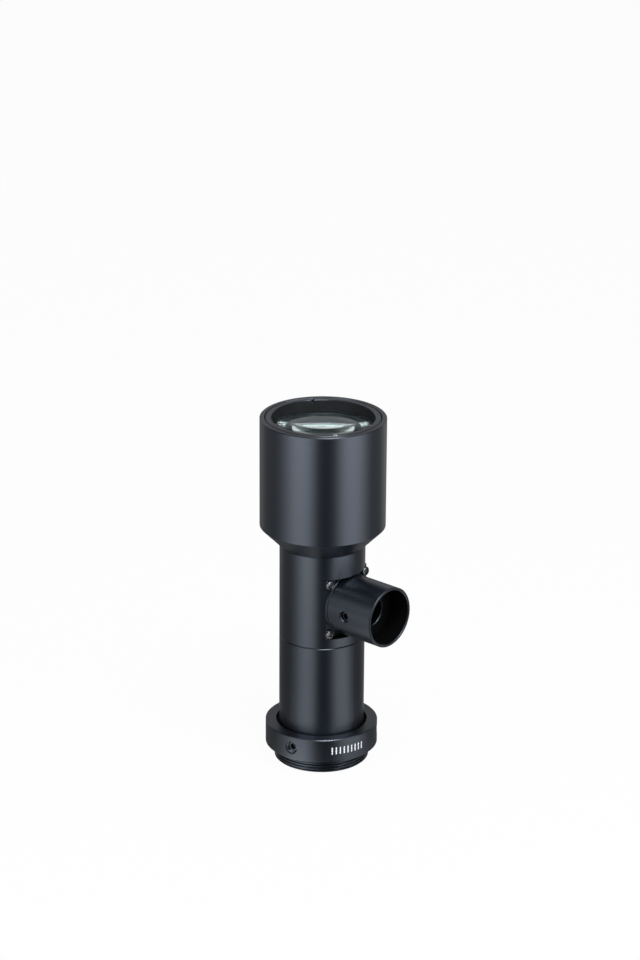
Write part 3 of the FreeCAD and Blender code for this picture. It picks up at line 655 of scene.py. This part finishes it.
def placedHole(hole, column, height, radii, starts, rises, end):
    # a hole at one column and height: the wall and bore that it joins, where its rows start in each, their
    # steps and the end of its thread
    count = 2 * hole["halfRows"]
    return dict(
        hole,
        column=column,
        height=height,
        outerRadius=radii[0],
        innerRadius=radii[1],
        outerRows=(starts[0], starts[0] + count),
        innerRows=(starts[1], starts[1] + count),
        rowSteps=rises,
        threadEnd=end,
    )


def turned(x, y, angle):
    # x and y turned about the Z axis
    return x * math.cos(angle) - y * math.sin(angle), x * math.sin(angle) + y * math.cos(angle)


def turnedWithHoles(radii, heights, columns, start, holes):
    # a closed outline turned once round, with each hole's windows left out of its grid and the hole put in
    angles = roundAngles(columns, start)
    points = turnedGrid(radii, heights, angles)
    rows = len(points)
    keep = np.ones((rows, columns), bool)
    closedRows = np.concatenate([points, points[:1]])
    allPoints = [closedRows.reshape(-1, 3)]
    for hole in holes:
        c = hole["halfColumns"]
        span = (hole["column"] + np.arange(-c, c)) % columns
        for low, high in (hole["outerRows"], hole["innerRows"]):
            keep[low:high, span] = False
    allFaces = [gridFaces(rows + 1, columns, True, keep)]
    count = closedRows.size // 3
    for hole in holes:
        rings = holeGrid(hole, 2 * math.pi / columns)
        turn = angles[hole["column"]]
        x, y, z = rings[..., 0], rings[..., 1], rings[..., 2] + hole["height"]
        placed = np.stack([*turned(x, y, turn), z], axis=-1)
        allPoints.append(placed.reshape(-1, 3))
        allFaces.append(gridFaces(len(rings), rings.shape[1], True) + count)
        count += placed.size // 3
    return np.concatenate(allPoints), np.concatenate(allFaces)


def within(points, faces, radius, low, high):
    # the faces whose corners all lie inside a radius and between two heights
    reach = np.hypot(points[:, 0], points[:, 1])
    inside = (reach < radius) & (points[:, 2] > low) & (points[:, 2] < high)
    return inside[faces].all(axis=1)


# mount ring: the camera thread, the recess round the barrel's foot and three threaded holes
mountRing = {
    "throat": 9.5,
    "wall": 15.0,
    "low": boxOf("c_mount_ring")[0][2],
    "height": boxOf("c_mount_ring")[1][2],
    "bevel": 0.2,
    "threadRadius": 12.69,
    "threadDepth": 0.46,
    "threadPitch": 25.4 / 32,
    "threadBevel": 0.35,
    "threadStep": 0.05,
    "relief": 0.55,
    "reliefRadius": 12.1,
    "reliefBevel": 0.12,
    "reliefSlope": 1.4,
    "entryRadius": barrelRadius + 0.8,
    "entryFloor": 5.75,
    "entryBevel": 0.05,
    "bore": barrelRadius + 0.05,
    "ledge": boxOf("rear_barrel")[0][2],
    "columns": 360,
    "firstHole": -80.3,  # degrees from +X
    "holeCount": 3,
    "holeHeight": middleOf("mount_grub_screw_1")[2],
    "hole": dict(grubThread, halfColumns=9, sinkRadius=1.8, sinkFloor=14.5),
}


def makeMountRing(s):
    # the crest line leans back at both ends of the thread, and the tooth is cut below it along a helix
    angles = roundAngles(s["columns"], s["firstHole"])
    low, top = s["low"], -s["relief"]
    threadHeights = np.arange(low, top + 0.02, s["threadStep"])
    tooth = threadTooth(threadHeights[:, None] / s["threadPitch"] - angles[None, :] / (2 * math.pi))
    crest = np.minimum(s["threadRadius"], s["threadRadius"] - s["threadBevel"] + (threadHeights - low))
    crest = np.minimum(crest, s["reliefRadius"] + 0.05 + (top - threadHeights) * s["reliefSlope"])
    threadRadii = np.minimum(crest[:, None], s["threadRadius"] - s["threadDepth"] * tooth)
    wall, bore, relief, entry = s["wall"], s["bore"], s["reliefRadius"], s["entryRadius"]
    half = s["hole"]["halfRows"]
    steps = np.arange(-half, half + 1)
    rise = wall * math.sin(half * 2 * math.pi / s["columns"]) / half
    boreRise = (s["holeHeight"] - s["ledge"] - 0.02) / half
    rows = [(s["throat"], low), (s["threadRadius"] - s["threadBevel"] - s["threadDepth"] * 0.5, low)]
    rows += zip(threadRadii, threadHeights)
    rows += [(relief, top + 0.03), (relief, -s["reliefBevel"]), (relief + s["reliefBevel"], 0.0)]
    rows += [(wall - s["bevel"], 0.0), (wall, s["bevel"])]
    outerStart = len(rows)
    rows += [(wall, s["holeHeight"] + step * rise) for step in steps]
    rows += [(wall, s["height"] - s["bevel"]), (wall - s["bevel"], s["height"])]
    rows += [(entry + s["entryBevel"], s["height"]), (entry, s["height"] - s["entryBevel"])]
    rows += [(entry, s["entryFloor"]), (bore, s["entryFloor"])]
    starts = (outerStart, len(rows))
    rows += [(bore, s["holeHeight"] - step * boreRise) for step in steps]
    rows += [(bore, s["ledge"]), (s["throat"], s["ledge"])]
    radii, heights = stackedRows(rows, s["columns"])
    holes = [
        placedHole(
            s["hole"],
            index * s["columns"] // s["holeCount"],
            s["holeHeight"],
            (wall, bore),
            starts,
            (rise, boreRise),
            bore + 0.15,
        )
        for index in range(s["holeCount"])
    ]
    points, faces = turnedWithHoles(radii, heights, s["columns"], s["firstHole"], holes)
    # the recess round the barrel's foot and the seat below it take the darker matt black: painted shade in the
    # hollow
    lining = (mattBlackAndPaintedShade, within(points, faces, entry + 0.02, s["ledge"] - 0.01, s["height"] - 0.02))
    asPiece("mountRing", points, faces, "mount", anodised, ["c_mount_ring"], lining=lining)


makeMountRing(mountRing)


# strokes on the mount ring: a short row of equal white lines, placed in degrees from +X
strokeSettings = {
    "first": -36.6,
    "last": -2.4,
    "count": 9,
    "width": 0.34,
    "height": 2.0,
    "middle": 3.35,
    "proud": 0.012,
    "rows": 3,
    "columns": 7,
}


def makeStrokes(s):
    # each stroke is a small curved plate that follows the ring's wall: a front, a back and the edge between
    rows, columns = s["rows"], s["columns"]
    across = np.linspace(-0.5, 0.5, columns) * s["width"] / mountRing["wall"]
    heights = s["middle"] + np.linspace(-0.5, 0.5, rows) * s["height"]
    size = rows * columns
    index = np.arange(size).reshape(rows, columns)
    edge = np.concatenate([index[0], index[1:, -1], index[-1, -2::-1], index[-2:0:-1, 0]])
    after = np.roll(edge, -1)
    front = gridFaces(rows, columns, False)
    sides = np.stack([after, edge, edge + size, after + size], axis=-1)
    plate = np.concatenate([front, front[:, ::-1] + size, sides])
    allPoints, allFaces = [], []
    for number, centre in enumerate(np.radians(np.linspace(s["first"], s["last"], s["count"]))):
        for side in (s["proud"], -s["proud"]):
            wall = turnedGrid(np.full(rows, mountRing["wall"] + side), heights, centre + across)
            allPoints.append(wall.reshape(-1, 3))
        allFaces.append(plate + number * 2 * size)
    points, faces = np.concatenate(allPoints), np.concatenate(allFaces)
    asPiece("mountStrokes", points, faces, "mount", whitePaint)


makeStrokes(strokeSettings)
print("mount ring made")


# light port: a turned tube with a wide mouth, a shoulder, the light guide's bore and the grub screw's hole
portTube = {
    "spigot": 6.45,
    "wall": 8.13,
    "rimBevel": 0.15,
    "mouth": 7.37,
    "mouthDepth": 6.3,
    "bore": 4.05,
    "boreBevel": 0.2,
    "stop": 3.4,  # the opening before the condenser lens
    "stopWall": 0.7,
    "lensSeat": 4.98,
    "outerHalf": 3.0,
    "innerHalf": 2.2,
    "columns": 360,
    "hole": dict(grubThread, halfColumns=27, sinkRadius=1.62, sinkFloor=7.88),
}


def makePortTube(s):
    # turned about its own axis, then laid along +X with the grub screw's hole to -Y
    foot, end = [corner[0] for corner in boxOf("port_tube")]
    flangeFace = boxOf("port_flange")[1][0]
    lensFace = boxOf("condenser_lens")[1][0]
    reach = middleOf("port_grub_screw")[0]
    shoulder = end - s["mouthDepth"]
    wall, bore, mouth, bevel = s["wall"], s["bore"], s["mouth"], s["rimBevel"]
    half = s["hole"]["halfRows"]
    steps = np.arange(-half, half + 1)
    rises = (s["outerHalf"] / half, s["innerHalf"] / half)
    rows = [(s["lensSeat"], foot), (s["spigot"], foot), (s["spigot"], flangeFace), (wall, flangeFace)]
    outerStart = len(rows)
    rows += [(wall, reach + step * rises[0]) for step in steps]
    rows += [(wall, end - bevel), (wall - bevel, end), (mouth + bevel, end), (mouth, end - bevel)]
    rows += [(mouth, shoulder), (bore + s["boreBevel"], shoulder), (bore, shoulder - s["boreBevel"])]
    starts = (outerStart, len(rows))
    rows += [(bore, reach - step * rises[1]) for step in steps]
    rows += [(bore, lensFace + s["stopWall"]), (s["stop"], lensFace + s["stopWall"])]
    rows += [(s["stop"], lensFace), (s["lensSeat"], lensFace)]
    radii, heights = stackedRows(rows, s["columns"])
    hole = placedHole(s["hole"], 0, reach, (wall, bore), starts, rises, bore + 0.1)
    points, faces = turnedWithHoles(radii, heights, s["columns"], 0.0, [hole])
    # the tube's inside takes the darker matt black, painted shade in its bore, all but the shoulder's chamfer
    inside = within(points, faces, mouth + 0.02, foot - 0.1, end - 0.1)
    reamed = s["boreBevel"] + 0.01
    inside &= ~within(points, faces, bore + reamed, shoulder - reamed, shoulder + 0.01)
    x, y, z = points.T
    placed = np.column_stack([z, -x, portHeight - y])
    lining = (mattBlackAndPaintedShade, inside)
    asPiece("portTube", placed, faces, "lens", portAnodised, ["port_tube"], lining=lining)


makePortTube(portTube)


# front ring: screwed in over the front lens, with two spanner notches across it
frontRing = {
    "clear": 13.6,
    "wall": 15.1,
    "bevel": 0.12,
    "notchDepth": 0.8,
    "notchHalf": 0.5,
    "notchAngle": -35.8,  # degrees from +X
    "notchColumns": 5,
    "gap": 0.0002,  # radians between the two edges of a notch's wall
    "columns": 176,  # in each half, between the notches
}


def makeFrontRing(s):
    # each half turn is a notch's few columns and then the plain ones; a column's angle at each radius keeps
    # the notch's walls straight across, and the notch's columns stop at its floor
    base, top = [corner[2] for corner in boxOf("front_retaining_ring")]
    floor = top - s["notchDepth"]
    clear, wall, bevel = s["clear"], s["wall"], s["bevel"]
    outline = [(clear, base), (wall, base), (wall, floor - 0.1), (wall, top - bevel), (wall - bevel, top)]
    outline += [(clear + bevel, top), (clear, top - bevel), (clear, floor - 0.1)]
    radii, heights = np.array(outline).T
    edge = np.arcsin(s["notchHalf"] / radii)[:, None]
    inNotch = np.linspace(-1, 1, s["notchColumns"])[None, :] * edge
    start, end = edge + s["gap"], math.pi - edge - s["gap"]
    plain = start + (end - start) * np.linspace(0, 1, s["columns"])[None, :]
    half = np.hstack([inNotch, plain])
    angles = np.hstack([half, half + math.pi]) + math.radians(s["notchAngle"])
    notched = np.tile(np.arange(half.shape[1]) < s["notchColumns"], 2)
    lowered = np.where(notched[None, :], np.minimum(heights[:, None], floor), heights[:, None])
    points = turnedGrid(radii, lowered, angles)
    points = np.concatenate([points, points[:1]]).reshape(-1, 3)
    faces = gridFaces(len(radii) + 1, angles.shape[1], True)
    lining = (frontBlack, within(points, faces, clear + 0.02, base - 0.1, top - 0.1))
    replaced = ["front_retaining_ring"]
    asPiece("frontRing", points, faces, "lens", anodised, replaced, lining=lining)


makeFrontRing(frontRing)
print("port tube and front ring made")


# screws
panScrew = {
    "radius": 1.3,
    "height": 1.0,
    "crown": 0.10,
    "round": 0.40,
    "shank": 0.79,
    "length": 3.7,
    "pitch": 0.35,
    "threadDepth": 0.2,
    "armReach": 0.90,
    "armEnd": 0.34,
    "armHalf": 0.22,
    "armWall": 0.05,
    "armDepth": 0.56,
    "core": 0.56,
    "coreWall": 0.22,
    "coreDepth": 0.74,
    "lead": 0.5,  # length over which the thread tapers to its tip
    "leadRadius": 0.75,  # share of the thread's radius at the tip
    "crownRings": 34,
    "edgeRings": 9,
    "columns": 96,
    "twists": (0.35, 1.05, 0.6, 0.15),  # radians, one for each screw
}


def panScrewGrid(s, twist):
    # rings from the middle of the head out over its crown, down its side, and along the threaded shank; the
    # cross recess is a depth below the crown, by the distance along and across the nearest arm
    angles = roundAngles(s["columns"])
    flatEdge = s["radius"] - s["round"]
    flat = np.linspace(0.0, flatEdge, s["crownRings"])
    turn = np.linspace(0, math.pi / 2, s["edgeRings"])[1:]
    rho = np.concatenate([flat, flatEdge + s["round"] * np.sin(turn)])[:, None]
    crown = s["height"] - s["crown"] * (flat / flatEdge) ** 2
    side = s["height"] - s["crown"] - s["round"] + s["round"] * np.cos(turn)
    ways = np.abs([np.cos(angles - twist), np.sin(angles - twist)])
    along, across = rho * ways.max(axis=0), rho * ways.min(axis=0)
    wing = np.clip((s["armReach"] - along) / s["armEnd"], 0, 1)
    wing *= np.clip((s["armHalf"] - across) / s["armWall"], 0, 1)
    core = np.clip((s["core"] - rho) / s["coreWall"], 0, 1)
    recess = np.maximum(wing * s["armDepth"], core * s["coreDepth"])
    headHeights = np.concatenate([crown, side])[:, None] - recess
    shankHeights = np.arange(-0.1, -s["length"] + 0.1, -s["pitch"] / 6)
    tooth = threadTooth(shankHeights[:, None] / s["pitch"] - angles / (2 * math.pi))
    lead = np.minimum(1.0, (shankHeights + s["length"]) / s["lead"])[:, None]
    taper = s["leadRadius"] + (1 - s["leadRadius"]) * lead
    shankRadii = (s["shank"] - s["threadDepth"] * tooth) * taper
    rows = list(zip(rho, headHeights))
    rows += [(s["radius"], 0.05), (s["radius"] - 0.05, 0), (s["shank"], 0)]
    rows += zip(shankRadii, shankHeights)
    rows += [(s["shank"] * 0.6, -s["length"]), (0, -s["length"])]
    radii, heights = stackedRows(rows, s["columns"])
    points = turnedGrid(radii, heights, angles)
    # rows run down from the middle of the head, so each quad is turned over to face out
    return points.reshape(-1, 3), gridFaces(len(radii), s["columns"], True)[:, ::-1]


def makePanScrews(s):
    # local +Z of the screw becomes +X, out along the light port
    for number, twist in enumerate(s["twists"], start=1):
        node = f"port_screw_{number}"
        headTop = boxOf(node)[1][0]
        middle = middleOf(node)
        points, faces = panScrewGrid(s, twist)
        x, y, z = points.T
        placed = np.column_stack([headTop - s["height"] + z, middle[1] + y, middle[2] - x])
        asPiece(f"panScrew{number}", placed, faces, "lens", darkSteel, [node], crease=40.0)


grubScrew = {
    "radius": 1.49,
    "length": 3.0,
    "cone": 1.2,
    "tip": 0.3,
    "pitch": 0.5,
    "threadDepth": 0.27,
    "socket": 0.866,
    "socketChamfer": 0.12,
    "socketDepth": 1.2,
    "drillPoint": 0.2,
    "rimWidth": 0.28,
    "rimHeight": 0.25,
    "columns": 72,
    "grooveDepth": 0.5,  # how far the mount's screws reach below the barrel's wall
}


def grubScrewGrid(s):
    # rings from the tip up the cone and the thread, over the end face and down into the six-sided socket
    angles = roundAngles(s["columns"])
    length, radius = s["length"], s["radius"]
    threadHeights = np.arange(s["cone"], length - s["rimWidth"], s["pitch"] / 10)
    tooth = threadTooth(threadHeights[:, None] / s["pitch"] - angles / (2 * math.pi))
    wedge = (angles % (math.pi / 3)) - math.pi / 6
    flats = s["socket"] * math.cos(math.pi / 6) / np.cos(wedge)
    chamfer = np.maximum(flats, s["socket"] * 0.98)
    rows = [(0, 0), (s["tip"], 0), (radius - s["threadDepth"], s["cone"] - 0.02)]
    rows += zip(radius - s["threadDepth"] * tooth, threadHeights)
    rows += [(radius - 0.05, length - s["rimHeight"]), (radius - s["rimWidth"], length)]
    rows += [(chamfer, length), (flats, length - s["socketChamfer"]), (flats, length - s["socketDepth"])]
    rows += [(0, length - s["socketDepth"] - s["drillPoint"])]
    radii, heights = stackedRows(rows, s["columns"])
    return turnedGrid(radii, heights, angles).reshape(-1, 3), gridFaces(len(radii), s["columns"], True)


def makeGrubScrews(s):
    # local +Z of each screw points out along its hole
    points, faces = grubScrewGrid(s)
    x, y, z = points.T
    out = barrelRadius - s["grooveDepth"] + z
    for number in range(1, mountRing["holeCount"] + 1):
        angle = math.radians(mountRing["firstHole"] + 360 / mountRing["holeCount"] * (number - 1))
        placed = np.column_stack([*turned(out, x, angle), mountRing["holeHeight"] + y])
        replaced = [f"mount_grub_screw_{number}"]
        body = f"grub_{number}"
        asPiece(f"mountGrub{number}", placed, faces, body, grubSteel, replaced, crease=40.0)
    reach, tip = middleOf("port_grub_screw")[0], boxOf("port_grub_screw")[1][1]
    placed = np.column_stack([reach + x, tip - z, portHeight + y])
    replaced = ["port_grub_screw"]
    asPiece("portGrub", placed, faces, "guide_grub", grubSteel, replaced, crease=40.0)


makePanScrews(panScrew)
makeGrubScrews(grubScrew)
print("screws made")


# lenses: each glass block between its two edge heights, with a flat land round the curved faces; the front two
# have air between them, and their curves are fitted to the reflections in the photograph
frontOuter = {
    "edge": boxOf("front_doublet_outer")[1][0],
    "chamfer": 0.15,
    "low": 87.2,
    "high": boxOf("front_retaining_ring")[0][2],
    "lowCurve": -39.0,
    "highCurve": 57.0,
    "lowClear": 9.7,
    "highClear": 13.5,
    "columns": 256,
    "rings": 60,
}
frontInner = dict(
    frontOuter,
    low=boxOf("head_spacer_ring")[1][2],
    high=86.75,
    lowCurve=-150.0,
    highCurve=-39.0,
    lowClear=13.5,
    highClear=9.7,
)
secondLens = dict(
    frontOuter,
    low=boxOf("second_lens")[0][2],
    high=boxOf("head_spacer_ring")[0][2],
    lowCurve=None,
    highCurve=80.0,
    lowClear=13.5,
)
rearLens = dict(
    frontOuter,
    edge=boxOf("rear_doublet_outer")[1][0],
    low=boxOf("rear_spacer")[1][2],
    high=boxOf("stop_spacer")[0][2],
    lowCurve=30.0,
    highCurve=24.0,
    lowClear=7.47,
    highClear=7.47,
)
fieldLens = dict(
    rearLens,
    low=boxOf("field_lens")[0][2],
    high=boxOf("rear_spacer")[0][2],
    lowCurve=None,
    highCurve=40.0,
)


def lensFace(s, height, curve, clear):
    # from the middle out: the arc's height above its edge, by the sphere's radius and the distance from the
    # axis; a positive curve rises in the middle, a negative one sinks, and none is flat
    reach = np.linspace(0, clear, s["rings"])
    if curve is None:
        return reach, np.full_like(reach, height)
    ball = abs(curve)
    rise = np.sqrt(ball**2 - reach**2) - math.sqrt(ball**2 - clear**2)
    return reach, height + math.copysign(1, curve) * rise


def makeLens(name, s, replaced):
    edge, low, high, chamfer = s["edge"], s["low"], s["high"], s["chamfer"]
    lowRadii, lowHeights = lensFace(s, low, s["lowCurve"], s["lowClear"])
    highRadii, highHeights = lensFace(s, high, s["highCurve"], s["highClear"])
    radii = np.concatenate([lowRadii, [edge - chamfer, edge, edge, edge - chamfer], highRadii[::-1]])
    heights = np.concatenate([lowHeights, [low, low + chamfer, high - chamfer, high], highHeights[::-1]])
    points = turnedGrid(radii, heights, roundAngles(s["columns"])).reshape(-1, 3)
    faces = gridFaces(len(radii), s["columns"], True)
    asPiece(name, points, faces, "lens", opticalGlass, replaced, crease=20.0)


makeLens("frontOuter", frontOuter, ["front_doublet_outer"])
makeLens("frontInner", frontInner, ["front_doublet_inner"])
makeLens("secondLens", secondLens, ["second_lens"])
makeLens("rearPair", rearLens, ["rear_doublet_inner", "rear_doublet_outer"])
makeLens("fieldLens", fieldLens, ["field_lens"])
print("lenses made")


# finishes of the frame's own nodes
nodeFinishes = {
    "rear_barrel": anodised,
    "main_barrel": anodised,
    "head_barrel": anodised,
    "port_flange": portAnodised,
    "rear_spacer": mattBlackAndPaintedShade,
    "stop_spacer": mattBlackAndPaintedShade,
    "aperture_stop": mattBlackAndPaintedShade,
    "rear_retaining_ring": mattBlackAndPaintedShade,
    "splitter_cage": mattBlackAndPaintedShade,
    "cage_retaining_ring": mattBlackAndPaintedShade,
    "light_trap": mattBlackAndPaintedShade,
    "condenser_retaining_ring": mattBlackAndPaintedShade,
    "head_spacer_ring": mattBlackAndPaintedShade,
    "condenser_lens": opticalGlass,
    "splitter_prism_a": opticalGlass,
    "splitter_prism_b": opticalGlass,
}
for name, material in nodeFinishes.items():
    for slot in nodes[name].material_slots:
        slot.material = material
print("nodes finished")
